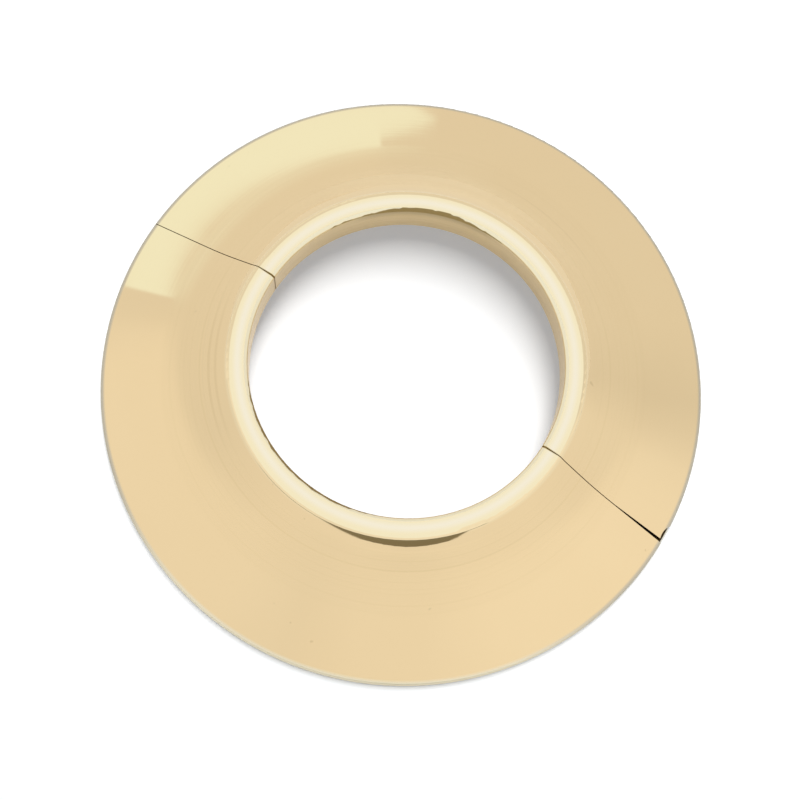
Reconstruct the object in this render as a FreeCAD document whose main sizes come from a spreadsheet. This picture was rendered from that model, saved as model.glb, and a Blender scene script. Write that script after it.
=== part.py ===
"""Hinged radiator pipe collar: two cast and turned brass halves that close round a pipe.

Millimetres. The origin is on the pipe's axis at the face that rests on the floor or wall, +Z runs up the
pipe, the split between the halves lies along X, the hinge is at +X and the catch at -X.
"""
import FreeCAD, Part
import math
import os
import re

import Sketcher
from FreeCAD import Vector

SIZES = {
    # the turned section, shared by both halves
    "outer_diameter": (85.0, "outside of the rim"),
    "bore_diameter": (43.0, "hole for a 1 1/4 inch iron pipe, 42.2 across"),
    "height": (11.8, "floor to the top of the lip"),
    "rim_edge": (1.3, "upright edge of the rim"),
    "rim_round": (0.45, "rounding along the top of the rim"),
    "lip_width": (2.7, "flat ring round the bore, to its outer corner"),
    "lip_round": (0.8, "rounding of that corner"),
    "lip_mouth": (0.45, "chamfer from the lip into the bore"),
    "foot_width": (0.85, "steep foot of the lip, outwards"),
    "foot_drop": (0.85, "height of that foot"),
    "foot_straight": (0.05, "what the curve from neck to foot leaves straight under the lip"),
    "neck_width": (5.45, "neck, outwards from the foot to the shallow cone"),
    "neck_drop": (3.95, "height of the neck"),
    "neck_round": (30.0, "hollow between the shallow cone and the neck"),
    "bore_land": (6.0, "lip's top to the underside of the neck"),
    "bore_edge": (0.4, "chamfer round the lower end of the bore"),
    "wall": (1.7, "thickness of the shallow cone"),
    "hollow_round": (1.2, "inside corner under the neck"),
    # the split
    "split_gap": (0.12, "between the two halves, shut"),
    "relief_start": (68.0, "diameter where the split starts to widen"),
    "relief_gap": (0.35, "how much wider the split is at the rim, hinge side"),
    # the hinge
    "hinge_inset": (1.25, "pivot in from the rim"),
    "hinge_offset": (1.75, "pivot past the split"),
    "eye_radius": (1.2, "round end of the hinge tongue"),
    "tongue_height": (0.9, "thickness of the hinge tongue"),
    "tongue_play": (0.1, "gap round and over the tongue"),
    "tongue_root": (1.0, "tongue's length inside the front half"),
    "root_length": (4.0, "length of the block that carries the tongue"),
    "root_height": (1.35, "thickness of that block"),
    "root_inset": (1.2, "block in from the rim"),
    "notch_depth": (0.6, "rim scalloped over the tongue"),
    "notch_radius": (2.4, "curve of that scallop"),
    "notch_offset": (1.2, "middle of the scallop past the split"),
    "pin_diameter": (1.0, "hinge pin"),
    "pin_play": (0.04, "radial play of the pin in the tongue"),
    "pin_reach": (1.5, "floor to the top of the pin"),
    "pin_head": (1.7, "countersunk head of the pin"),
    "pin_head_height": (0.4, "depth of that head"),
    "pin_sink": (0.05, "head's face above the floor"),
    # the catch
    "catch_gap": (1.9, "spring strip in from the side of the hollow"),
    "spring_width": (5.0, "width of the spring strip"),
    "spring_thickness": (0.5, "thickness of the spring strip"),
    "spring_level": (2.3, "upper face of the strip where it is riveted"),
    "spring_root": (9.0, "strip's length on the front half"),
    "spring_bend": (0.8, "end of the flat stretch, before the split"),
    "spring_crest": (3.0, "crest of the strip past the split"),
    "spring_rise": (0.16, "height of that crest"),
    "spring_tip": (6.6, "tip of the strip past the split"),
    "spring_drop": (0.12, "tip below the flat stretch"),
    "spring_corner": (1.4, "rounded corners of the tip"),
    "seat_margin": (0.7, "spring seat beyond the strip, each way"),
    "seat_bite": (0.6, "depth by which cast pads run into the wall"),
    "keeper_start": (1.0, "keeper's near face past the split"),
    "keeper_length": (4.0, "keeper along the strip"),
    "keeper_leg": (1.2, "thickness of the keeper's legs"),
    "keeper_bar": (0.85, "thickness of the bar under the strip"),
    "keeper_side": (0.6, "gap beside the strip"),
    "keeper_under": (0.15, "gap under the strip"),
    "keeper_over": (0.1, "gap over the strip's crest"),
    "rivet_diameter": (1.6, "shank of the two rivets"),
    "rivet_head": (3.0, "head of the rivets"),
    "rivet_head_height": (0.5, "height of that head"),
    "rivet_chamfer": (0.3, "chamfer round that head"),
    "rivet_depth": (1.4, "shank in the cast seat"),
    "rivet_play": (0.05, "radial play of the shank in the strip"),
    "rivet_inset": (2.2, "first rivet to the strip's root end"),
    "rivet_pitch": (3.8, "between the rivets"),
}
OVERRUN = "2"  # how far cutting shapes run past the metal
HALF_TURN = 180.0
FULL_TURN = 360.0
LEAST_CUT = 1e-3  # mm3, less means that a cut missed
START, END, CENTRE = 1, 2, 3  # points of a line or an arc in a sketch
ORIGIN = (-1, START)
UP = Vector(0, 0, 1)

doc = FreeCAD.newDocument("radiator_pipe_collar")
sheet = doc.addObject("Spreadsheet::Sheet", "Sizes")
for row, (alias, (size, note)) in enumerate(SIZES.items(), start=1):
    sheet.set(f"A{row}", note)
    sheet.set(f"B{row}", str(size))
    sheet.setAlias(f"B{row}", alias)
doc.recompute()


def sized(text):
    """An expression over the sizes, spelt the way the document wants it."""
    return re.sub(r"[a-z_]+", lambda m: "Sizes." + m.group() if m.group() in SIZES else m.group(), text)


def value(text):
    return float(sheet.evalExpression(sized(text)))


def bind(item, prop, text):
    item.setExpression(prop, sized(text))


# places that several pieces share
RIM = "outer_diameter / 2"
BORE = "bore_diameter / 2"
LIP = f"({BORE} + lip_width)"
FOOT = f"({LIP} + foot_width)"
FOOT_LEVEL = "(height - foot_drop)"
NECK = f"({FOOT} + neck_width)"
NECK_LEVEL = f"({FOOT_LEVEL} - neck_drop)"
CEILING = "(height - bore_land)"
SLOPE = f"(({NECK_LEVEL} - rim_edge) / ({RIM} - {NECK}))"
WALL_UP = f"(wall * sqrt(1 + {SLOPE}^2))"
FOOT_ANGLE = "atan(foot_drop / foot_width)"
FOOT_SIDE = "sqrt(foot_width^2 + foot_drop^2)"
FOOT_CURVED = f"({FOOT_SIDE} - lip_round * tan({FOOT_ANGLE} / 2) - foot_straight)"
FOOT_ROUND = f"({FOOT_CURVED} / tan(({FOOT_ANGLE} - atan(neck_drop / neck_width)) / 2))"
PIVOT_X = f"({RIM} - hinge_inset)"
PIVOT_Y = "hinge_offset"
SOCKET = "(eye_radius + tongue_play)"


def hollow_radius(level):
    """Radius of the hollow's sloping side at a level."""
    return f"({RIM} - ({level} - rim_edge + {WALL_UP}) / {SLOPE})"


def pad_top(radius):
    """Level inside the sloping wall, so that a cast pad grows into it without breaking through."""
    return f"(rim_edge + ({RIM} - {radius}) * {SLOPE} - {WALL_UP} + seat_bite)"


SPRING_X = f"(catch_gap + spring_width / 2 - {hollow_radius('spring_level')})"
SPRING_FOOT = "(spring_level - spring_thickness)"
SLOT_HALF = "(spring_width / 2 + keeper_side)"
KEEPER_HALF = f"({SLOT_HALF} + keeper_leg)"
SLOT_FLOOR = f"({SPRING_FOOT} - spring_drop - keeper_under)"
SLOT_ROOF = "(spring_level + spring_rise + keeper_over)"
FIRST_RIVET = "(rivet_inset - spring_root)"
RIVET_STEPS = ("0", "rivet_pitch")


def new_body(name):
    body = doc.addObject("PartDesign::Body", name)
    body.Label = name
    return body


def origin_part(body, role):
    return next(item for item in body.Origin.OriginFeatures if item.Role == role)


def new_sketch(body, name, plane, shift=("0", "0", "0")):
    """A sketch on one of the body's own planes, moved by shift in the sketch's own directions."""
    sketch = body.newObject("Sketcher::SketchObject", name)
    sketch.AttachmentSupport = [(origin_part(body, plane), "")]
    sketch.MapMode = "FlatFace"
    for axis, text in zip("xyz", shift):
        bind(sketch, f"AttachmentOffset.Base.{axis}", text)
    return sketch


def hold(sketch, geometry, point, x, y):
    """Keep a point of the sketch at the expressions x and y."""
    for kind, text in (("DistanceX", x), ("DistanceY", y)):
        now = value(text)
        if now < 0:
            index = sketch.addConstraint(Sketcher.Constraint(kind, geometry, point, *ORIGIN, -now))
            text = f"-({text})"
        else:
            index = sketch.addConstraint(Sketcher.Constraint(kind, *ORIGIN, geometry, point, now))
        bind(sketch, f"Constraints[{index}]", text)


def turn_points(before, corner, after, radius):
    """Where a rounding of a corner meets its two sides, and its centre."""
    back = (before - corner).normalize()
    ahead = (after - corner).normalize()
    half = back.getAngle(ahead) / 2
    reach = radius / math.tan(half)
    centre = corner + (back + ahead).normalize() * (radius / math.sin(half))
    return corner + back * reach, corner + ahead * reach, centre


def outline(sketch, corners):
    """A closed outline through corners of (x, y) or (x, y, rounding), every size an expression."""
    spots = [Vector(value(c[0]), value(c[1]), 0) for c in corners]
    count = len(corners)
    arrive, leave, arcs = {}, {}, {}
    for i, corner in enumerate(corners):
        arrive[i] = leave[i] = spots[i]
        if len(corner) == 3:
            arrive[i], leave[i], middle = turn_points(
                spots[i - 1], spots[i], spots[(i + 1) % count], value(corner[2])
            )
            arcs[i] = middle
    lines = [
        sketch.addGeometry(Part.LineSegment(leave[i], arrive[(i + 1) % count]), False) for i in range(count)
    ]
    for i, corner in enumerate(corners):
        came, goes = lines[i - 1], lines[i]
        if i not in arcs:
            sketch.addConstraint(Sketcher.Constraint("Coincident", came, END, goes, START))
            hold(sketch, goes, START, corner[0], corner[1])
            continue
        bow = arcs[i] + (spots[i] - arcs[i]).normalize() * value(corner[2])
        left_turn = (spots[i] - spots[i - 1]).cross(spots[(i + 1) % count] - spots[i]).z > 0
        arc = sketch.addGeometry(Part.Arc(arrive[i], bow, leave[i]), False)
        first, last = (START, END) if left_turn else (END, START)
        mark = sketch.addGeometry(Part.Point(spots[i]), True)
        hold(sketch, mark, START, corner[0], corner[1])
        sketch.addConstraint(Sketcher.Constraint("PointOnObject", mark, START, came))
        sketch.addConstraint(Sketcher.Constraint("PointOnObject", mark, START, goes))
        sketch.addConstraint(Sketcher.Constraint("Tangent", came, END, arc, first))
        sketch.addConstraint(Sketcher.Constraint("Tangent", arc, last, goes, START))
        size = sketch.addConstraint(Sketcher.Constraint("Radius", arc, value(corner[2])))
        bind(sketch, f"Constraints[{size}]", corner[2])


def box_outline(sketch, x0, y0, x1, y1):
    outline(sketch, [(x0, y0), (x1, y0), (x1, y1), (x0, y1)])


def circle(sketch, x, y, radius):
    middle = Vector(value(x), value(y), 0)
    ring = sketch.addGeometry(Part.Circle(middle, UP, value(radius)), False)
    hold(sketch, ring, CENTRE, x, y)
    size = sketch.addConstraint(Sketcher.Constraint("Radius", ring, value(radius)))
    bind(sketch, f"Constraints[{size}]", radius)


def tongue_outline(sketch, foot):
    """The hinge tongue from above: straight sides from its foot to a round end about the pivot."""
    left, right = f"{PIVOT_X} - eye_radius", f"{PIVOT_X} + eye_radius"
    radius, middle = value("eye_radius"), Vector(value(PIVOT_X), value(PIVOT_Y), 0)
    spots = [
        middle - Vector(radius, 0, 0),
        Vector(value(left), value(foot), 0),
        Vector(value(right), value(foot), 0),
        middle + Vector(radius, 0, 0),
    ]
    sides = [sketch.addGeometry(Part.LineSegment(a, b), False) for a, b in zip(spots, spots[1:])]
    end = sketch.addGeometry(Part.Arc(spots[-1], middle + Vector(0, radius, 0), spots[0]), False)
    for came, goes in zip(sides, sides[1:]):
        sketch.addConstraint(Sketcher.Constraint("Coincident", came, END, goes, START))
    hold(sketch, sides[1], START, left, foot)
    hold(sketch, sides[1], END, right, foot)
    hold(sketch, end, CENTRE, PIVOT_X, PIVOT_Y)
    sketch.addConstraint(Sketcher.Constraint("Tangent", sides[-1], END, end, START))
    sketch.addConstraint(Sketcher.Constraint("Tangent", end, END, sides[0], START))


def pin_profile(sketch, steps):
    """Half section of the hinge pin or of its hole, as (radius, level) steps about the upright axis."""
    outline(sketch, [("0", steps[0][1]), *steps, ("0", steps[-1][1])])


def feature(body, kind, name, sketch, **settings):
    """A PartDesign feature made from a sketch; text settings are expressions."""
    made = body.newObject(f"PartDesign::{kind}", name)
    made.Profile = sketch
    for prop, setting in settings.items():
        if isinstance(setting, str):
            bind(made, prop, setting)
        else:
            setattr(made, prop, setting)
    sketch.Visibility = False
    body.Tip = made
    doc.recompute()
    return made


def cut(body, kind, name, sketch, **settings):
    """A feature that must take metal away."""
    before = body.Shape.Volume
    made = feature(body, kind, name, sketch, **settings)
    if before - body.Shape.Volume < LEAST_CUT:
        raise RuntimeError(f"{name} cuts nothing")
    return made


def turn(body, kind, name, sketch, angle=FULL_TURN, **settings):
    """A Revolution or a Groove about the sketch's upright axis."""
    make = cut if kind == "Groove" else feature
    return make(body, kind, name, sketch, ReferenceAxis=(sketch, ["V_Axis"]), Angle=angle, **settings)


def turned_half(name, rear):
    """Half of the turned section, its end faces back from the split by half the gap."""
    body = new_body(name)
    section = new_sketch(body, name + "_section", "XZ_Plane")
    outline(
        section,
        [
            (f"{BORE} + bore_edge", CEILING),
            (BORE, f"{CEILING} + bore_edge"),
            (BORE, "height - lip_mouth"),
            (f"{BORE} + lip_mouth", "height"),
            (LIP, "height", "lip_round"),
            (FOOT, FOOT_LEVEL, FOOT_ROUND),
            (NECK, NECK_LEVEL, "neck_round"),
            (RIM, "rim_edge", "rim_round"),
            (RIM, "0"),
            (hollow_radius("0"), "0"),
            (hollow_radius(CEILING), CEILING, "hollow_round"),
        ],
    )
    turn(body, "Revolution", name + "_turned", section, HALF_TURN, Reversed=not rear)
    saw = new_sketch(body, name + "_saw", "XZ_Plane")
    side = f"({RIM} + {OVERRUN})"
    box_outline(saw, f"-{side}", f"-{OVERRUN}", side, f"height + {OVERRUN}")
    cut(body, "Pocket", name + "_split", saw, Length="split_gap / 2", Reversed=not rear)
    return body


def front_half():
    body = turned_half("front_half", rear=False)
    tongue = new_sketch(body, "tongue_outline", "XY_Plane")
    tongue_outline(tongue, "-tongue_root")
    feature(body, "Pad", "hinge_tongue", tongue, Length="tongue_height")
    root = new_sketch(body, "root_outline", "XY_Plane")
    inside = f"{PIVOT_X} - eye_radius"
    box_outline(root, inside, "-root_length", f"{RIM} - root_inset", "-split_gap / 2")
    feature(body, "Pad", "hinge_root", root, Length="root_height")
    eye = new_sketch(body, "eye_section", "XZ_Plane", (PIVOT_X, "0", f"-{PIVOT_Y}"))
    pin_profile(
        eye,
        [
            ("pin_head / 2 + pin_play", f"-{OVERRUN}"),
            ("pin_head / 2 + pin_play", "pin_sink"),
            ("pin_diameter / 2 + pin_play", "pin_sink + pin_head_height"),
            ("pin_diameter / 2 + pin_play", f"root_height + {OVERRUN}"),
        ],
    )
    turn(body, "Groove", "hinge_eye", eye)

    seat = new_sketch(body, "seat_section", "XZ_Plane", ("0", "0", "spring_bend"))
    outer = f"({SPRING_X} - spring_width / 2 - seat_margin)"
    inner = f"({SPRING_X} + spring_width / 2 + seat_margin)"
    outline(
        seat,
        [
            (outer, "spring_level"),
            (inner, "spring_level"),
            (inner, pad_top(f"(-{inner})")),
            (outer, pad_top(f"(-{outer})")),
        ],
    )
    feature(body, "Pad", "spring_seat", seat, Length="spring_root + seat_margin - spring_bend")
    holes = new_sketch(body, "seat_holes", "XY_Plane", ("0", "0", "spring_level"))
    for step in RIVET_STEPS:
        circle(holes, SPRING_X, f"{FIRST_RIVET} + {step}", "rivet_diameter / 2")
    cut(body, "Pocket", "rivet_holes", holes, Length="rivet_depth", Reversed=True)
    return body


def rear_half():
    body = turned_half("rear_half", rear=True)
    past = f"({RIM} + {OVERRUN})"
    socket_end = f"({PIVOT_Y} + {SOCKET})"
    relief = new_sketch(body, "relief_outline", "XY_Plane")
    widening = f"(relief_gap * ({past} - relief_start / 2) / ({RIM} - relief_start / 2))"
    outline(
        relief,
        [
            ("relief_start / 2", "0"),
            (past, "0"),
            (past, f"split_gap / 2 + {widening}"),
            ("relief_start / 2", "split_gap / 2"),
        ],
    )
    cut(body, "Pocket", "split_relief", relief, Length="height", Reversed=True)

    socket = new_sketch(body, "socket_outline", "XY_Plane")
    outline(
        socket,
        [
            (f"{PIVOT_X} - {SOCKET}", "0"),
            (past, "0"),
            (past, socket_end),
            (f"{PIVOT_X} - {SOCKET}", socket_end, SOCKET),
        ],
    )
    cut(body, "Pocket", "tongue_socket", socket, Length="tongue_height + tongue_play", Reversed=True)

    notch = new_sketch(body, "notch_outline", "XY_Plane")
    circle(notch, f"{RIM} - notch_depth + notch_radius", "notch_offset", "notch_radius")
    cut(body, "Pocket", "rim_notch", notch, Length="height", Reversed=True)

    bed = new_sketch(body, "pin_bed_section", "XZ_Plane", (PIVOT_X, "0", f"-{PIVOT_Y}"))
    box_outline(bed, "0", "0", "pin_diameter / 2", "pin_reach")
    turn(body, "Groove", "pin_bed", bed)

    keeper = new_sketch(body, "keeper_section", "XZ_Plane", ("0", "0", "-keeper_start"))
    outer, inner = f"({SPRING_X} - {KEEPER_HALF})", f"({SPRING_X} + {KEEPER_HALF})"
    outline(
        keeper,
        [
            (outer, f"{SLOT_FLOOR} - keeper_bar"),
            (inner, f"{SLOT_FLOOR} - keeper_bar"),
            (inner, pad_top(f"(-{inner})")),
            (outer, pad_top(f"(-{outer})")),
        ],
    )
    feature(body, "Pad", "spring_keeper", keeper, Length="keeper_length", Reversed=True)
    slot = new_sketch(body, "slot_section", "XZ_Plane")
    box_outline(slot, f"{SPRING_X} - {SLOT_HALF}", SLOT_FLOOR, f"{SPRING_X} + {SLOT_HALF}", SLOT_ROOF)
    cut(body, "Pocket", "keeper_slot", slot, Length=f"keeper_start + keeper_length + {OVERRUN}")
    return body


def hinge_pin():
    body = new_body("hinge_pin")
    section = new_sketch(body, "pin_section", "XZ_Plane", (PIVOT_X, "0", f"-{PIVOT_Y}"))
    pin_profile(
        section,
        [
            ("pin_head / 2", "pin_sink"),
            ("pin_diameter / 2", "pin_sink + pin_head_height"),
            ("pin_diameter / 2", "pin_reach"),
        ],
    )
    turn(body, "Revolution", "pin_turned", section)
    return body


def catch_spring():
    body = new_body("catch_spring")
    side = new_sketch(body, "spring_side", "YZ_Plane", ("0", "0", SPRING_X))
    top = [
        ("-spring_root", "spring_level"),
        ("-spring_bend", "spring_level"),
        ("spring_crest", "spring_level + spring_rise"),
        ("spring_tip", "spring_level - spring_drop"),
    ]
    under = [(y, f"{z} - spring_thickness") for y, z in reversed(top)]
    outline(side, top[::-1] + under[::-1])
    feature(body, "Pad", "spring_strip", side, Length="spring_width", Midplane=True)
    holes = new_sketch(body, "spring_holes", "XY_Plane", ("0", "0", SPRING_FOOT))
    for step in RIVET_STEPS:
        circle(holes, SPRING_X, f"{FIRST_RIVET} + {step}", "rivet_diameter / 2 + rivet_play")
    cut(body, "Pocket", "spring_piercing", holes, Length="spring_thickness", Reversed=True)
    pierced = body.Tip
    tip = value("spring_tip")
    corners = [
        f"Edge{i}"
        for i, edge in enumerate(body.Shape.Edges, start=1)
        if abs(edge.CenterOfMass.y - tip) < 1e-6 and abs(edge.tangentAt(edge.FirstParameter).z) > 0.99
    ]
    rounded = body.newObject("PartDesign::Fillet", "spring_corners")
    rounded.Base = (pierced, corners)
    bind(rounded, "Radius", "spring_corner")
    body.Tip = rounded
    doc.recompute()
    return body


def catch_rivets():
    body = new_body("catch_rivets")
    section = new_sketch(body, "rivet_section", "XZ_Plane", (SPRING_X, "0", f"-{FIRST_RIVET}"))
    head = f"({SPRING_FOOT} - rivet_head_height)"
    outline(
        section,
        [
            ("0", head),
            ("rivet_head / 2 - rivet_chamfer", head),
            ("rivet_head / 2", f"{head} + rivet_chamfer"),
            ("rivet_head / 2", SPRING_FOOT),
            ("rivet_diameter / 2", SPRING_FOOT),
            ("rivet_diameter / 2", "spring_level + rivet_depth"),
            ("0", "spring_level + rivet_depth"),
        ],
    )
    turned = turn(body, "Revolution", "rivet_turned", section)
    row = body.newObject("PartDesign::LinearPattern", "rivet_row")
    row.Originals = [turned]
    row.Direction = (origin_part(body, "Y_Axis"), [""])
    row.Occurrences = len(RIVET_STEPS)
    bind(row, "Length", "rivet_pitch")
    body.Tip = row
    doc.recompute()
    return body


nodes = [front_half(), rear_half(), hinge_pin(), catch_spring(), catch_rivets()]
doc.recompute()

for item in doc.Objects:
    if {"Invalid", "Error"} & set(item.State):
        raise RuntimeError(f"{item.Name}: {item.State}")
os.makedirs("parts", exist_ok=True)
for node in nodes:
    node.Placement = FreeCAD.Placement()
    shape = node.Shape
    if shape.isNull() or not shape.isValid():
        raise RuntimeError(f"{node.Label} has no valid shape")
    shape.exportStep(f"parts/{node.Label}.step")
    print(f"{node.Label}: {len(shape.Solids)} solid, {shape.Volume:.2f} mm3, {shape.BoundBox}")
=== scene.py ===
"""Looks of the hinged radiator pipe collar: polished brass on a white table under soft studio light."""
import math
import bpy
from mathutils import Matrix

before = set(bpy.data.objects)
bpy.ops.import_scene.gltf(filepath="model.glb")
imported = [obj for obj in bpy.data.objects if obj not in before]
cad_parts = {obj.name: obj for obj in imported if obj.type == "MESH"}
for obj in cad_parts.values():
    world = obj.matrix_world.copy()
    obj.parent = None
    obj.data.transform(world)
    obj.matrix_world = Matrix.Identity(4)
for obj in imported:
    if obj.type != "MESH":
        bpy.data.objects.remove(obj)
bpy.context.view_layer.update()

from types import SimpleNamespace

import bpy
from mathutils import Quaternion, Vector

MM = 0.001

# camera, in degrees and millimetres, and where the pipe's axis lands in the 800 pixel picture
CAMERA_AZIMUTH = 22.5
CAMERA_ELEVATION = 74.9
CAMERA_ROLL = 10.45
CAMERA_DISTANCE = 221.0
CAMERA_NEAREST = 10.0
AIM_HEIGHT = 1.2
LENS = 70.3
PICTURE = 800.0
AXIS_PIXEL = (403.5, 380.3)

# the collar's turned surfaces and tongue, in millimetres from the pipe's axis and above the table
BORE_RADIUS = 21.5
LIP_RADIUS = 24.2
NECK_RADIUS = 30.5
RIM_RADIUS = 42.5
RIM_EDGE = 1.3
HEIGHT = 11.8
TONGUE_INSIDE = 39.9
TONGUE_END = 3.2
TONGUE_TOP = 1.05

# table and lamp, in metres and degrees, and their light, where 1 makes a white surface white
TABLE_RADIUS = 0.25
TABLE_DROP = 0.00002
TABLE_SIDES = 128
TABLE_WHITE = 0.82
TABLE_GLOW = 0.3
TABLE_MIRRORED_GLOW = 0.12
GLOW_TINT = (0.97, 1.01, 1.06)
DOME = (0.14, 0.155, 0.18)
WHITE = (1.0, 1.0, 1.0)
KEY_LEVEL = 0.86
KEY_AZIMUTH = 278.0
KEY_ELEVATION = 72.0
KEY_DISTANCE = 1.2
KEY_WIDTH = 0.3
KEY_TALLNESS = 0.84

# the white tent that the brass mirrors, by degrees: 0 at the camera's right, 90 near, 180 left, 270 far
WALL_LEVELS = [
    (10, 0.92), (27, 0.95), (61, 0.94), (78, 0.92), (95, 0.94), (130, 0.92), (147, 0.89), (164, 0.85),
    (180, 0.87), (257, 0.89), (259, 0.86), (322, 0.86), (338, 0.82), (350, 0.92),
]
WALL_TOP = (22.0, 30.0)
TENT_LEVELS = [
    (0, 0.99), (15, 1.01), (50, 1.0), (70, 0.955), (90, 0.95), (108, 0.91), (128, 0.95), (190, 0.97),
    (196, 0.95), (200, 0.89), (206, 0.855), (270, 0.835), (322, 0.85), (331, 0.8), (338, 0.8), (344, 0.855),
    (351, 0.955), (358, 0.985),
]
ROOF = (1.01, 1.1, 1.19)
ROOF_START = (55.0, 62.0)

# a bright panel far left, in degrees: its upper edge falls along a parabola and its far end is pointed
PANEL = (1.02, 1.17, 1.25)
PANEL_START = 204.5
PANEL_END = 258.3
PANEL_TOP = 26.85
PANEL_FALL = -0.316
PANEL_BOW = 0.00225
PANEL_DEPTH = 2.3
PANEL_EDGE_SOFT = 0.5
PANEL_END_FADE = (-0.4, 0.4)
POINT = 9.8
POINT_LEVEL = 14.65
POINT_HALF_HEIGHT = 1.05

# the tent's dark opening on the near side, in degrees
OPENING = (0.24, 0.225, 0.17)
OPENING_AZIMUTH = 77.0
OPENING_HALF_WIDTH = 35.0
OPENING_TAPER = 1.4
OPENING_SKEW = 0.4
OPENING_TOP = 19.5
OPENING_FALL = 9.5
OPENING_TOP_FADE = (-0.5, 0.5)
OPENING_FOOT_FADE = (4.0, 6.0)

# colours of the brass
BRASS = (0.88, 0.685, 0.405)
BRASS_DEEP = (0.865, 0.665, 0.385)
# painted highlight on the lip's top: palest in its middle, a little paler at its edges
LIP_PAINTED_HIGHLIGHT = (0.905, 0.765, 0.56)
LIP_EDGE_PAINTED_HIGHLIGHT = (0.9, 0.73, 0.45)
BRASS_CAST = (0.6, 0.45, 0.24)
BRASS_BORE = (0.73, 0.54, 0.23)
# painted shade and painted dark reflections in the bore's mouth
BRASS_SHADE = (0.4, 0.29, 0.12)
# painted dark reflection round the rim's edge, and painted light on its near side and its upright face
RIM_PAINTED_DARK_REFLECTION = (0.58, 0.52, 0.4)
RIM_PAINTED_LIGHT = (0.87, 0.78, 0.57)
BRASS_SAWN = (0.45, 0.3, 0.11)
# painted highlight on the rounded part of the bore's mouth
MOUTH_PAINTED_HIGHLIGHT = (0.93, 0.82, 0.58)
BRASS_PIN = (0.72, 0.56, 0.32)
BRASS_SPRING = (0.76, 0.58, 0.34)
# painted shadow in the hinge's slit and on the split faces, and a painted highlight along the tongue's outer
# edge
HINGE_PAINTED_SHADOW = (0.045, 0.025, 0.006)
TONGUE_PAINTED_HIGHLIGHT = (0.8, 0.74, 0.62)

# roughness of the brass
POLISHED_ROUGH = (0.025, 0.06)
NECK_ROUGH = 0.16
RIM_ROUGH = 0.3
BORE_ROUGH = 0.25
MOUTH_ROUGH = 0.5
CAST_ROUGH = 0.42
SPLIT_ROUGH = 0.7
HINGE_ROUGH = 0.5
PIN_ROUGH = 0.38
SPRING_ROUGH = 0.3

# fine marks: how closely they lie, how much each one shows, from 0 to 1, and their depth in millimetres
TURNING_SCALE = 3.5
TURNING_LINES = (0.5, 0.75)
TURNING_TINT = 0.15
TURNING_HEIGHT = 0.02
CLOUD_SCALE = 90.0
CAST_SCALE = 2500.0
RUBBED_SCALE = 2.5
RUBBED_STRETCH = 0.9
RAGGED_SCALE = 14.0
SPECK_SCALE = 600.0
SPECK_FADE = (0.79, 0.82)
SPECK_TINT = 0.4
RIPPLE_TINT = 0.2
SHADE_TINT = 0.6
MOUTH_ROUNDING = 0.6
BUMP = 0.6
BUMP_DEPTH = 0.03
DRAWN_SHADE = 0.8
DRAWN_SPREAD = 0.08
DRAWN_BUMP = 0.2
DRAWN_DEPTH = 0.02
PIN_LINES = (9000, 9000, 600)
SPRING_LINES = (9000, 300, 9000)

# where each look lies, in millimetres, shares of a normal or degrees from the hinge
NECK_SATIN = (LIP_RADIUS + 1.8, NECK_RADIUS + 3.2)
NECK_SATIN_SOFT = 0.7
LIP_FADE = (HEIGHT - 0.55, HEIGHT - 0.2)
LIP_MIDDLE = (BORE_RADIUS + 0.9, LIP_RADIUS - 0.9)
LIP_MIDDLE_SOFT = 0.5
BORE_FADE = (BORE_RADIUS + 0.52, BORE_RADIUS + 0.46)
MOUTH_FADE = (HEIGHT - 0.5, HEIGHT - 0.42)
MOUTH_ROUND_FADE = (HEIGHT - 0.4, HEIGHT - 0.3)
LIP_SPLIT_FADE = (0.18, 0.12)
LIP_SPLIT_REACH = (LIP_RADIUS + 0.6, BORE_RADIUS + 0.6)
SPLIT_FADE = (0.8, 0.6)
SPLIT_FACING = (0.8, 0.9)
CAST_FACING = (0.0, -0.1)
HINGE_FADE = (TONGUE_INSIDE, TONGUE_INSIDE + 0.1)
HINGE_LENGTH = (-0.04, TONGUE_END)
HINGE_LENGTH_SOFT = 0.02
HINGE_TOP_FADE = (TONGUE_TOP + 0.03, TONGUE_TOP)
# how far from the hinge the split faces get the painted shadow
HINGE_SHADOW_REACH = (31.0, 41.0)
TONGUE_EDGE_FADE = (RIM_RADIUS - 0.24, RIM_RADIUS - 0.18)
RIM_FADE = (RIM_RADIUS - 0.75, RIM_RADIUS - 0.25)
RIM_FACE_FADE = (RIM_EDGE - 0.3, RIM_EDGE - 0.45)
# where the rim's edge gets painted light instead of the painted dark reflection
RIM_PAINTED_LIGHT_TURN = (-115.0, -25.0)
RIM_PAINTED_LIGHT_SOFT = 15.0

# faint ripples painted as darker reflection lines, and a faint line on the neck, in millimetres and degrees
# from the hinge
RIPPLE_RADII = (25.5, 27.6)
RIPPLE_RADII_SOFT = 0.3
RIPPLE_SPACING = 0.95
RIPPLE_TURN = (-163.0, -128.0)
RIPPLE_TURN_SOFT = 12.0
NECK_LINE_RADII = (NECK_RADIUS - 0.05, NECK_RADIUS + 0.05)
NECK_LINE_RADII_SOFT = 0.12
NECK_LINE_TURN = (66.0, 96.0)
NECK_LINE_TURN_SOFT = 10.0

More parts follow.
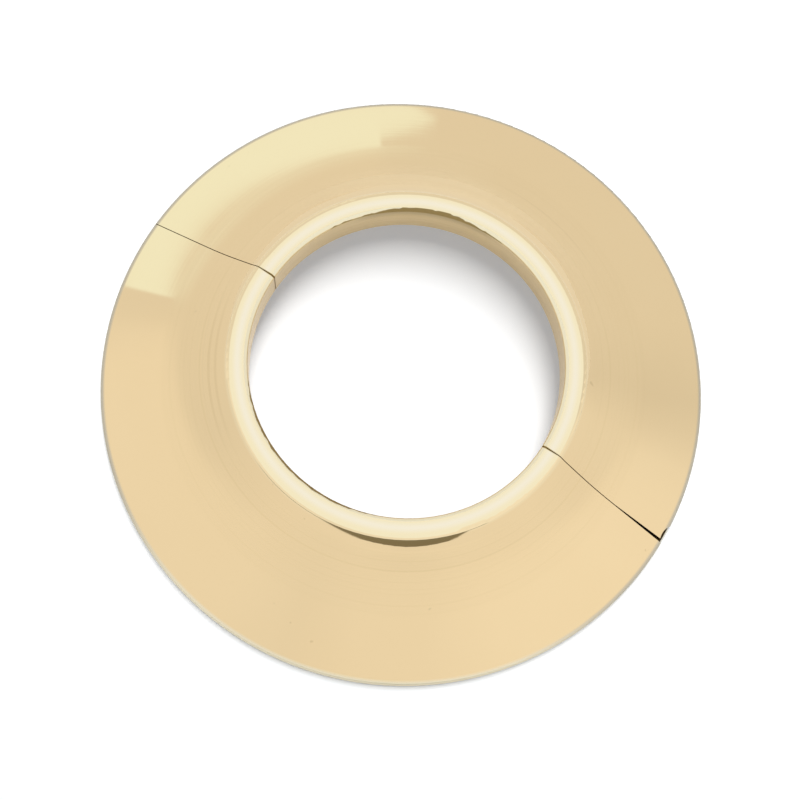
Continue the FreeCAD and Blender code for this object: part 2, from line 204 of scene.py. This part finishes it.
# painted dark reflections in the bore's mouth: a thick dark line with thin tails on the far side, a thin one
# on the near side, and painted shade under the thick one
DARK_LINE_TURN = 115.0
DARK_LINE_HALF_TURN = 24.0
DARK_LINE_TOP = HEIGHT + 0.2
DARK_LINE_FALL = 0.5
DARK_LINE_RAGGEDNESS = 0.3
DARK_LINE_EDGE_FADE = (-0.04, 0.04)
THIN_LINE_FOOT = HEIGHT - 0.5
TAIL_TURN = (84.0, 153.0)
TAIL_SOFT = 3.0
TAIL_HEIGHT = 0.3
NEAR_LINE_TURN = (-140.0, -68.0)
NEAR_LINE_SOFT = 20.0
NEAR_LINE_HEIGHT = 0.5
DARK_LINE_SHADE_FADE = (HEIGHT - 2.4, HEIGHT - 0.5)
DARK_LINE_SHADE_SPREAD = (1.6, 0.6)


class Nodes:
    """Short ways to add and join the nodes of one node tree."""

    FIRST_COLOUR, SECOND_COLOUR, MIXED_COLOUR = 6, 7, 2  # a mix node has several sockets of the same name
    FIRST_VECTOR, SECOND_VECTOR, MIXED_VECTOR = 4, 5, 1

    def __init__(self, tree):
        self.tree = tree
        tree.nodes.clear()

    def add(self, kind, inputs=(), **settings):
        node = self.tree.nodes.new(kind)
        for name, setting in settings.items():
            setattr(node, name, setting)
        for socket, source in dict(inputs).items():
            self.put(node.inputs[socket], source)
        return node

    def put(self, socket, source):
        if isinstance(source, bpy.types.NodeSocket):
            self.tree.links.new(source, socket)
        elif socket.type == "RGBA":
            socket.default_value = (*source, 1.0)
        else:
            socket.default_value = source

    def math(self, operation, *values):
        return self.add("ShaderNodeMath", dict(enumerate(values)), operation=operation).outputs[0]

    def every(self, *masks):
        """Product of masks."""
        product = masks[0]
        for mask in masks[1:]:
            product = self.math("MULTIPLY", product, mask)
        return product

    def scaled(self, value, low, high):
        """A value from 0 to 1 spread from low to high."""
        inputs = {"Value": value, "To Min": low, "To Max": high}
        return self.add("ShaderNodeMapRange", inputs).outputs["Result"]

    def step(self, value, low, high):
        """0 at low, 1 at high, smooth between."""
        inputs = {"Value": value, "From Min": low, "From Max": high}
        return self.add("ShaderNodeMapRange", inputs, interpolation_type="SMOOTHSTEP").outputs["Result"]

    def inside(self, value, low, high, soft):
        """1 between low and high, 0 beyond, over soft edges."""
        rise = self.step(value, low - soft, low + soft)
        return self.every(rise, self.step(value, high + soft, high - soft))

    def noise(self, inputs, dimensions="3D"):
        return self.add("ShaderNodeTexNoise", inputs, noise_dimensions=dimensions).outputs["Fac"]

    def blend(self, factor, first, second):
        """A colour between first and second."""
        inputs = {"Factor": factor, self.FIRST_COLOUR: first, self.SECOND_COLOUR: second}
        return self.add("ShaderNodeMix", inputs, data_type="RGBA").outputs[self.MIXED_COLOUR]

    def tint(self, mask, share, first, second):
        """The first colour, with a share of the second where the mask is."""
        return self.blend(self.math("MULTIPLY", mask, share), first, second)

    def mix(self, factor, first, second):
        """A number between first and second."""
        return self.add("ShaderNodeMix", {"Factor": factor, "A": first, "B": second}).outputs["Result"]

    def bump(self, height, strength, distance):
        inputs = {"Height": height, "Strength": strength, "Distance": distance}
        return self.add("ShaderNodeBump", inputs).outputs["Normal"]

    def upright(self, factor, normal):
        """A normal turned towards straight up."""
        inputs = {"Factor": factor, self.FIRST_VECTOR: normal, self.SECOND_VECTOR: (0.0, 0.0, 1.0)}
        turned = self.add("ShaderNodeMix", inputs, data_type="VECTOR").outputs[self.MIXED_VECTOR]
        return self.add("ShaderNodeVectorMath", {0: turned}, operation="NORMALIZE").outputs["Vector"]

    def parts(self, vector):
        return self.add("ShaderNodeSeparateXYZ", {"Vector": vector}).outputs[:3]

    def levels(self, degrees, stops):
        """A grey that follows stops of (degrees, level) round a full turn."""
        node = self.add("ShaderNodeValToRGB", {"Fac": self.math("DIVIDE", degrees, 360.0)})
        points = node.color_ramp.elements
        while len(points) < len(stops):
            points.new(1.0)
        for point, (place, level) in zip(points, stops):
            point.position = place / 360.0
            point.color = (level, level, level, 1.0)
        return node.outputs["Color"]

    def metal(self, colour, rough, normal):
        inputs = {"Base Color": colour, "Metallic": 1.0, "Roughness": rough, "Normal": normal}
        shader = self.add("ShaderNodeBsdfPrincipled", inputs).outputs["BSDF"]
        self.add("ShaderNodeOutputMaterial", {"Surface": shader})


def new_material(name):
    material = bpy.data.materials.new(name)
    material.use_nodes = True
    return material, Nodes(material.node_tree)


def direction(azimuth, elevation):
    """Unit vector towards a place round the collar."""
    turn = math.radians(CAMERA_AZIMUTH - azimuth)
    rise = math.radians(elevation)
    return Vector((math.cos(turn) * math.cos(rise), math.sin(turn) * math.cos(rise), math.sin(rise)))


def make_camera():
    data = bpy.data.cameras.new("camera")
    data.lens = LENS
    data.shift_x = (PICTURE / 2 - AXIS_PIXEL[0]) / PICTURE
    data.shift_y = (AXIS_PIXEL[1] - PICTURE / 2) / PICTURE
    data.clip_start = CAMERA_NEAREST * MM
    camera = bpy.data.objects.new("camera", data)
    back = direction(90.0, CAMERA_ELEVATION)
    camera.location = Vector((0, 0, AIM_HEIGHT * MM)) + back * (CAMERA_DISTANCE * MM)
    camera.rotation_mode = "QUATERNION"
    roll = Quaternion((0, 0, 1), math.radians(CAMERA_ROLL))
    camera.rotation_quaternion = (-back).to_track_quat("-Z", "Y") @ roll
    bpy.context.scene.collection.objects.link(camera)
    bpy.context.scene.camera = camera


def make_table():
    """A white table that keeps the collar's shadow, with a little glow so that it reads as white."""
    bpy.ops.mesh.primitive_circle_add(vertices=TABLE_SIDES, radius=TABLE_RADIUS, fill_type="NGON")
    table = bpy.context.object
    table.name = "table"
    table.location.z = -TABLE_DROP
    material, nodes = new_material("white_table")
    path = nodes.add("ShaderNodeLightPath").outputs
    seen = nodes.math("MULTIPLY", path["Is Camera Ray"], TABLE_GLOW)
    glow = nodes.math("MULTIPLY_ADD", path["Is Glossy Ray"], TABLE_MIRRORED_GLOW, seen)
    paint = nodes.add("ShaderNodeBsdfDiffuse", {"Color": (TABLE_WHITE,) * 3}).outputs["BSDF"]
    shine = nodes.add("ShaderNodeEmission", {"Color": GLOW_TINT, "Strength": glow}).outputs["Emission"]
    both = nodes.add("ShaderNodeAddShader", {0: paint, 1: shine}).outputs["Shader"]
    nodes.add("ShaderNodeOutputMaterial", {"Surface": both})
    table.data.materials.append(material)


def look_angles(nodes):
    """Azimuth and elevation of the direction in which the tent is seen, in degrees."""
    way = nodes.add("ShaderNodeTexCoord").outputs["Generated"]
    inputs = {"Vector": way, "Angle": -math.radians(CAMERA_AZIMUTH)}
    turned = nodes.add("ShaderNodeVectorRotate", inputs, rotation_type="Z_AXIS").outputs["Vector"]
    right, far, up = nodes.parts(turned)
    clockwise = nodes.math("ARCTAN2", nodes.math("MULTIPLY", far, -1.0), right)
    azimuth = nodes.math("FLOORED_MODULO", nodes.math("DEGREES", clockwise), 360.0)
    return azimuth, nodes.math("DEGREES", nodes.math("ARCSINE", up))


def panel_mask(nodes, azimuth, elevation):
    """The bright panel: a strip under a falling edge, with a point at its far end."""
    past = nodes.math("SUBTRACT", azimuth, PANEL_START)
    fall = nodes.math("MULTIPLY_ADD", past, PANEL_BOW, PANEL_FALL)
    top = nodes.math("MULTIPLY_ADD", fall, past, PANEL_TOP)
    strip = nodes.inside(nodes.math("SUBTRACT", top, elevation), 0.0, PANEL_DEPTH, PANEL_EDGE_SOFT)
    off_level = nodes.math("DIVIDE", nodes.math("SUBTRACT", elevation, POINT_LEVEL), POINT_HALF_HEIGHT)
    point = nodes.math("MAXIMUM", nodes.math("SUBTRACT", 1.0, nodes.math("ABSOLUTE", off_level)), 0.0)
    end = nodes.math("MULTIPLY_ADD", point, POINT, PANEL_END)
    before_end = nodes.step(nodes.math("SUBTRACT", end, azimuth), *PANEL_END_FADE)
    return nodes.every(strip, before_end, nodes.step(past, *PANEL_END_FADE))


def opening_mask(nodes, azimuth, elevation):
    """The near opening: a pointed arch that falls more slowly to the left."""
    aside = nodes.math("DIVIDE", nodes.math("SUBTRACT", azimuth, OPENING_AZIMUTH), OPENING_HALF_WIDTH)
    skew = nodes.math("MULTIPLY_ADD", aside, OPENING_SKEW, 1.0)
    arch = nodes.math("DIVIDE", nodes.math("POWER", nodes.math("ABSOLUTE", aside), OPENING_TAPER), skew)
    top = nodes.math("MULTIPLY_ADD", arch, -OPENING_FALL, OPENING_TOP)
    under = nodes.step(nodes.math("SUBTRACT", top, elevation), *OPENING_TOP_FADE)
    return nodes.every(under, nodes.step(elevation, *OPENING_FOOT_FADE))


def make_world():
    """A white tent: plain light for the table, and walls, roof, panel and opening for the brass to mirror."""
    world = bpy.data.worlds.new("tent")
    bpy.context.scene.world = world
    world.use_nodes = True
    nodes = Nodes(world.node_tree)
    azimuth, elevation = look_angles(nodes)
    wall = nodes.levels(azimuth, WALL_LEVELS)
    tent = nodes.levels(azimuth, TENT_LEVELS)
    tent = nodes.blend(nodes.step(elevation, *WALL_TOP), wall, tent)
    tent = nodes.blend(panel_mask(nodes, azimuth, elevation), tent, PANEL)
    tent = nodes.blend(opening_mask(nodes, azimuth, elevation), tent, OPENING)
    tent = nodes.blend(nodes.step(elevation, *ROOF_START), tent, ROOF)

    path = nodes.add("ShaderNodeLightPath").outputs
    colour = nodes.blend(path["Is Glossy Ray"], DOME, tent)
    colour = nodes.blend(path["Is Camera Ray"], colour, WHITE)
    background = nodes.add("ShaderNodeBackground", {"Color": colour}).outputs["Background"]
    nodes.add("ShaderNodeOutputWorld", {"Surface": background})


def make_key_light():
    """A tall soft light high on the far side, which shades the far inside of the hole."""
    data = bpy.data.lights.new("key", "AREA")
    data.shape = "RECTANGLE"
    data.size = KEY_WIDTH
    data.size_y = KEY_TALLNESS
    slant = math.sin(math.radians(KEY_ELEVATION))
    data.energy = KEY_LEVEL * (math.pi * KEY_DISTANCE) ** 2 / slant
    lamp = bpy.data.objects.new("key", data)
    towards = direction(KEY_AZIMUTH, KEY_ELEVATION)
    lamp.location = towards * KEY_DISTANCE
    lamp.rotation_mode = "QUATERNION"
    lamp.rotation_quaternion = towards.to_track_quat("Z", "Y")
    lamp.visible_glossy = False  # the tent's panel and roof stand for it in the brass
    bpy.context.scene.collection.objects.link(lamp)


def surface_point(nodes):
    """Where a point of the collar lies, in millimetres and degrees, and which way it faces."""
    sockets = nodes.add("ShaderNodeTexCoord").outputs
    place = sockets["Object"]
    x, y, z = [nodes.math("DIVIDE", part, MM) for part in nodes.parts(place)]
    _, side, facing_up = nodes.parts(sockets["Normal"])
    square = nodes.math("MULTIPLY_ADD", x, x, nodes.math("MULTIPLY", y, y))
    angle = nodes.math("ARCTAN2", y, x)
    return SimpleNamespace(
        place=place,
        x=x,
        y=y,
        z=z,
        from_split=nodes.math("ABSOLUTE", y),
        facing_split=nodes.math("ABSOLUTE", side),
        facing_up=facing_up,
        radius=nodes.math("SQRT", square),
        angle=angle,
        turn=nodes.math("DEGREES", angle),
    )


def grain_of(nodes, at):
    """Noise of the turned, cast and rubbed brass."""
    upward = nodes.math("MULTIPLY", at.z, RUBBED_STRETCH)
    around = nodes.add("ShaderNodeCombineXYZ", {"X": at.angle, "Y": upward}).outputs["Vector"]
    specks = nodes.noise({"Vector": at.place, "Scale": SPECK_SCALE, "Detail": 1.0})
    return SimpleNamespace(
        turning=nodes.noise({"W": at.radius, "Scale": TURNING_SCALE, "Detail": 3.0}, "1D"),
        cloud=nodes.noise({"Vector": at.place, "Scale": CLOUD_SCALE, "Detail": 2.0}),
        cast=nodes.noise({"Vector": at.place, "Scale": CAST_SCALE, "Detail": 2.0}),
        rubbed=nodes.noise({"Vector": around, "Scale": RUBBED_SCALE, "Detail": 4.0}),
        specks=nodes.step(specks, *SPECK_FADE),
        ragged=nodes.noise({"W": at.angle, "Scale": RAGGED_SCALE, "Detail": 2.0}, "1D"),
    )


def neck_marks(nodes, at):
    """Faint ripples on the left of the neck, painted as darker reflection lines, and a faint darker line
    along its far edge.
    """
    wave = nodes.math("SINE", nodes.math("MULTIPLY", at.radius, 2 * math.pi / RIPPLE_SPACING))
    ripples = nodes.every(
        nodes.step(wave, 0.0, 1.0),
        nodes.inside(at.radius, *RIPPLE_RADII, RIPPLE_RADII_SOFT),
        nodes.inside(at.turn, *RIPPLE_TURN, RIPPLE_TURN_SOFT),
    )
    line = nodes.every(
        nodes.inside(at.radius, *NECK_LINE_RADII, NECK_LINE_RADII_SOFT),
        nodes.inside(at.turn, *NECK_LINE_TURN, NECK_LINE_TURN_SOFT),
    )
    return nodes.math("ADD", ripples, line)


def mouth_lines(nodes, at, ragged):
    """The dark lines in the bore's mouth, painted dark reflections, and the painted shade under the thick
    one.
    """
    aside = nodes.math("DIVIDE", nodes.math("SUBTRACT", at.turn, DARK_LINE_TURN), DARK_LINE_HALF_TURN)
    aside = nodes.math("MULTIPLY", aside, aside)
    tail = nodes.inside(at.turn, *TAIL_TURN, TAIL_SOFT)
    near_line = nodes.inside(at.turn, *NEAR_LINE_TURN, NEAR_LINE_SOFT)
    thin = nodes.math("MULTIPLY_ADD", tail, TAIL_HEIGHT, nodes.math("MULTIPLY", near_line, NEAR_LINE_HEIGHT))
    top = nodes.math("MULTIPLY_ADD", aside, -DARK_LINE_FALL, DARK_LINE_TOP)
    top = nodes.math("MAXIMUM", top, nodes.math("ADD", thin, THIN_LINE_FOOT))
    top = nodes.math("MULTIPLY_ADD", ragged, -DARK_LINE_RAGGEDNESS, top)
    lines = nodes.step(nodes.math("SUBTRACT", top, at.z), *DARK_LINE_EDGE_FADE)
    shade = nodes.every(nodes.step(at.z, *DARK_LINE_SHADE_FADE), nodes.step(aside, *DARK_LINE_SHADE_SPREAD))
    return lines, shade


def surface_masks(nodes, at, ragged):
    """Which of the collar's surfaces a point is on."""
    lines, shade = mouth_lines(nodes, at, ragged)
    bore = nodes.step(at.radius, *BORE_FADE)
    mouth = nodes.every(bore, nodes.step(at.z, *MOUTH_FADE))
    rim_turn = nodes.inside(at.turn, *RIM_PAINTED_LIGHT_TURN, RIM_PAINTED_LIGHT_SOFT)
    return SimpleNamespace(
        neck=nodes.inside(at.radius, *NECK_SATIN, NECK_SATIN_SOFT),
        lip=nodes.step(at.z, *LIP_FADE),
        lip_middle=nodes.inside(at.radius, *LIP_MIDDLE, LIP_MIDDLE_SOFT),
        bore=bore,
        bore_shade=shade,
        mouth=mouth,
        mouth_lines=nodes.every(mouth, lines),
        mouth_rounded=nodes.every(nodes.step(at.z, *MOUTH_ROUND_FADE), nodes.step(lines, 1.0, 0.0), mouth),
        lip_split=nodes.every(
            nodes.step(at.from_split, *LIP_SPLIT_FADE),
            nodes.step(at.radius, *LIP_SPLIT_REACH),
        ),
        cast=nodes.step(at.facing_up, *CAST_FACING),
        split=nodes.every(
            nodes.step(at.facing_split, *SPLIT_FACING),
            nodes.step(at.from_split, *SPLIT_FADE),
        ),
        hinge=nodes.every(
            nodes.step(at.x, *HINGE_FADE),
            nodes.inside(at.y, *HINGE_LENGTH, HINGE_LENGTH_SOFT),
            nodes.step(at.z, *HINGE_TOP_FADE),
        ),
        near_hinge=nodes.step(at.x, *HINGE_SHADOW_REACH),
        tongue_edge=nodes.step(at.radius, *TONGUE_EDGE_FADE),
        rim=nodes.step(at.radius, *RIM_FADE),
        rim_painted_light=nodes.math("MAXIMUM", rim_turn, nodes.step(at.z, *RIM_FACE_FADE)),
    )


def turned_colour(nodes, at, grain, on):
    """Colour of the two halves."""
    colour = nodes.blend(grain.cloud, BRASS_DEEP, BRASS)
    lines = nodes.every(on.neck, nodes.step(grain.turning, *TURNING_LINES))
    colour = nodes.tint(lines, TURNING_TINT, colour, BRASS_BORE)
    # painted reflection lines: faint darker ripples on the neck, and a faint darker line
    colour = nodes.tint(neck_marks(nodes, at), RIPPLE_TINT, colour, BRASS_CAST)
    colour = nodes.tint(grain.specks, SPECK_TINT, colour, BRASS_CAST)
    # painted highlight: the lip's top is painted paler, most in its middle
    colour = nodes.blend(on.lip, colour, nodes.blend(on.lip_middle, LIP_EDGE_PAINTED_HIGHLIGHT, LIP_PAINTED_HIGHLIGHT))
    # the rim's edge is painted darker all round as a painted dark reflection, and paler on the near side and
    # the upright face as painted light
    colour = nodes.blend(on.rim, colour, nodes.blend(on.rim_painted_light, RIM_PAINTED_DARK_REFLECTION, RIM_PAINTED_LIGHT))
    bore = nodes.blend(grain.rubbed, BRASS_BORE, BRASS)
    # painted shade: the far bore wall is painted darker under the thick dark line
    bore = nodes.tint(on.bore_shade, SHADE_TINT, bore, BRASS_SHADE)
    # painted dark reflection lines in the bore's mouth
    bore = nodes.blend(on.mouth_lines, bore, BRASS_SHADE)
    # painted highlight: the rounded part of the bore's mouth is painted paler
    bore = nodes.blend(on.mouth_rounded, bore, MOUTH_PAINTED_HIGHLIGHT)
    colour = nodes.blend(on.bore, colour, bore)
    colour = nodes.blend(on.lip_split, colour, BRASS_SAWN)
    colour = nodes.blend(on.cast, colour, nodes.blend(grain.cast, BRASS_CAST, BRASS_BORE))
    # painted shadow: near the hinge the split faces are painted nearly black, where the gap lies in shade
    colour = nodes.blend(on.split, colour, nodes.blend(on.near_hinge, BRASS_SAWN, HINGE_PAINTED_SHADOW))
    # painted shadow on the tongue's top, with a painted highlight along its outer edge
    return nodes.blend(on.hinge, colour, nodes.blend(on.tongue_edge, HINGE_PAINTED_SHADOW, TONGUE_PAINTED_HIGHLIGHT))


def turned_roughness(nodes, grain, on):
    """Roughness of the two halves: each surface lies over the one before it."""
    rough = nodes.scaled(grain.turning, *POLISHED_ROUGH)
    surfaces = [
        (on.neck, NECK_ROUGH),
        (on.rim, RIM_ROUGH),
        (on.bore, nodes.mix(on.mouth, BORE_ROUGH, MOUTH_ROUGH)),
        (on.cast, CAST_ROUGH),
        (on.split, SPLIT_ROUGH),
        (on.hinge, HINGE_ROUGH),
    ]
    for mask, roughness in surfaces:
        rough = nodes.mix(mask, rough, roughness)
    return rough


def turned_brass():
    """The two halves: polished outside, rubbed in the bore, as cast below, with painted shadow and a painted
    highlight in the hinge.
    """
    material, nodes = new_material("polished_brass")
    at = surface_point(nodes)
    grain = grain_of(nodes, at)
    on = surface_masks(nodes, at, grain.ragged)
    colour = turned_colour(nodes, at, grain, on)
    rough = turned_roughness(nodes, grain, on)
    height = nodes.mix(on.cast, nodes.math("MULTIPLY", grain.turning, TURNING_HEIGHT), grain.cast)
    normal = nodes.bump(height, BUMP, BUMP_DEPTH * MM)
    rounding = nodes.math("MULTIPLY", on.mouth_rounded, MOUTH_ROUNDING)
    nodes.metal(colour, rough, nodes.upright(rounding, normal))
    return material


def wrought_brass(name, colour, dull, stretch):
    """Drawn or rolled brass: fine lines that run along one direction."""
    material, nodes = new_material(name)
    place = nodes.add("ShaderNodeTexCoord").outputs["Object"]
    drawn = nodes.add("ShaderNodeMapping", {"Vector": place, "Scale": stretch}).outputs["Vector"]
    lines = nodes.noise({"Vector": drawn, "Scale": 1.0, "Detail": 3.0})
    shade = nodes.blend(lines, tuple(part * DRAWN_SHADE for part in colour), colour)
    rough = nodes.scaled(lines, dull - DRAWN_SPREAD, dull + DRAWN_SPREAD)
    nodes.metal(shade, rough, nodes.bump(lines, DRAWN_BUMP, DRAWN_DEPTH * MM))
    return material


def dress(material, *names):
    for name in names:
        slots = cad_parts[name].data.materials
        slots.clear()
        slots.append(material)


make_camera()
make_table()
make_world()
make_key_light()
dress(turned_brass(), "front_half", "rear_half")
dress(wrought_brass("pin_brass", BRASS_PIN, PIN_ROUGH, PIN_LINES), "hinge_pin", "catch_rivets")
dress(wrought_brass("spring_brass", BRASS_SPRING, SPRING_ROUGH, SPRING_LINES), "catch_spring")
bpy.context.scene.view_settings.view_transform = "Standard"
